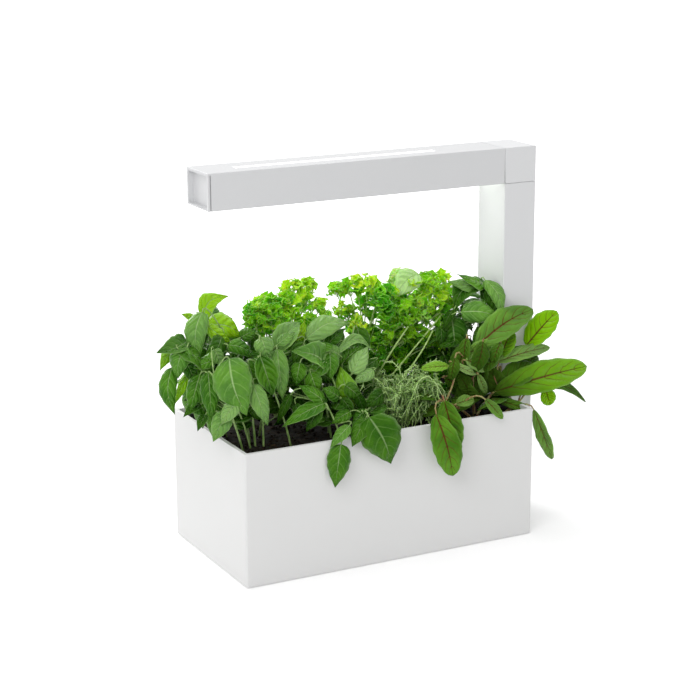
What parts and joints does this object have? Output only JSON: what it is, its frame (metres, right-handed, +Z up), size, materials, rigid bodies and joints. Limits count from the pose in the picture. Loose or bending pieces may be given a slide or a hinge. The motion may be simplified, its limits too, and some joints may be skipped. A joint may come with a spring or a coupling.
{
  "type": "countertop hydroponic garden",
  "caption": "Self-watering herb planter box with a lift-out growing tray of herbs and an overhead lamp arm on a height-adjustable post.",
  "frame": {"origin": "middle of the rubber pad's underside, on the worktop, below the middle of the planter box", "axes": "+X along the box towards the lamp's post, +Y towards the back, +Z up"},
  "size_m": [0.469, 0.2079, 0.402],
  "materials": {
    "shell_white": "satin white moulded box",
    "lamp_white": "satin white lamp covers",
    "pad_rubber": "fine grained",
    "plate_steel": "powder coated white",
    "screw_steel": "bright",
    "mast_metal": "satin",
    "slide_nylon": "natural nylon",
    "tray_grey": "dark grey moulded tray",
    "medium": "moist coir and peat growing medium",
    "wick_felt": "felt",
    "float_plastic": "glossy",
    "basil_leaf": "living basil leaves",
    "parsley_leaf": "living parsley leaves",
    "thyme_leaf": "living thyme sprigs",
    "sorrel_leaf": "living red-veined sorrel leaves",
    "jack_black": "moulded",
    "board_green": "solder mask",
    "driver_mix": "wound parts and sockets",
    "button_grey": "satin",
    "frosted": "frosted light cover",
    "board_white": "white solder mask",
    "led_chip": "phosphor",
    "lead_rubber": "two-core lead"
  },
  "bodies": {
    "planter": {"foot_pad": "pad_rubber", "base_plate": "plate_steel", "plate_screws": "screw_steel", "mast_screws": "screw_steel", "mast": "mast_metal", "mast_guide": "slide_nylon", "planter_box": "shell_white"},
    "tray": {"grow_tray": "tray_grey", "substrate": "medium", "wicks": "wick_felt", "float_guide": "slide_nylon", "basil_left": "basil_leaf", "basil_centre": "basil_leaf", "basil_right": "basil_leaf", "parsley_left": "parsley_leaf", "parsley_right": "parsley_leaf", "thyme": "thyme_leaf", "sorrel": "sorrel_leaf"},
    "float": {"level_float": "float_plastic"},
    "lamp": {"post_housing": "lamp_white", "glide_bush": "slide_nylon", "stop_screw": "screw_steel", "dc_jack": "jack_black", "corner_block": "lamp_white", "corner_screws": "screw_steel", "driver_board": "board_green", "driver_parts": "driver_mix", "light_switch": "jack_black", "arm_housing": "lamp_white", "end_cap": "lamp_white", "light_strip": "frosted", "heat_spreader": "mast_metal", "led_board": "board_white", "leds": "led_chip", "spreader_screws": "screw_steel", "diffuser": "frosted", "supply_lead": "lead_rubber", "light_lead": "lead_rubber"},
    "button": {"power_button": "button_grey"}
  },
  "joints": [
    {"name": "lamp_height", "type": "slide", "parent": "planter", "child": "lamp", "axis": [0, 0, 1], "range_m": [0, 0.12]},
    {"name": "tray_lift", "type": "slide", "parent": "planter", "child": "tray", "axis": [0, 0, 1], "range_m": [0, 0.06]},
    {"name": "float_rise", "type": "slide", "parent": "tray", "child": "float", "axis": [0, 0, 1], "range_m": [0, 0.03]},
    {"name": "button_press", "type": "slide", "parent": "lamp", "child": "button", "axis": [-1, 0, 0], "range_m": [0, 0.0008], "stiffness_N_per_m": 1500, "springref_m": -0.0004}
  ]
}
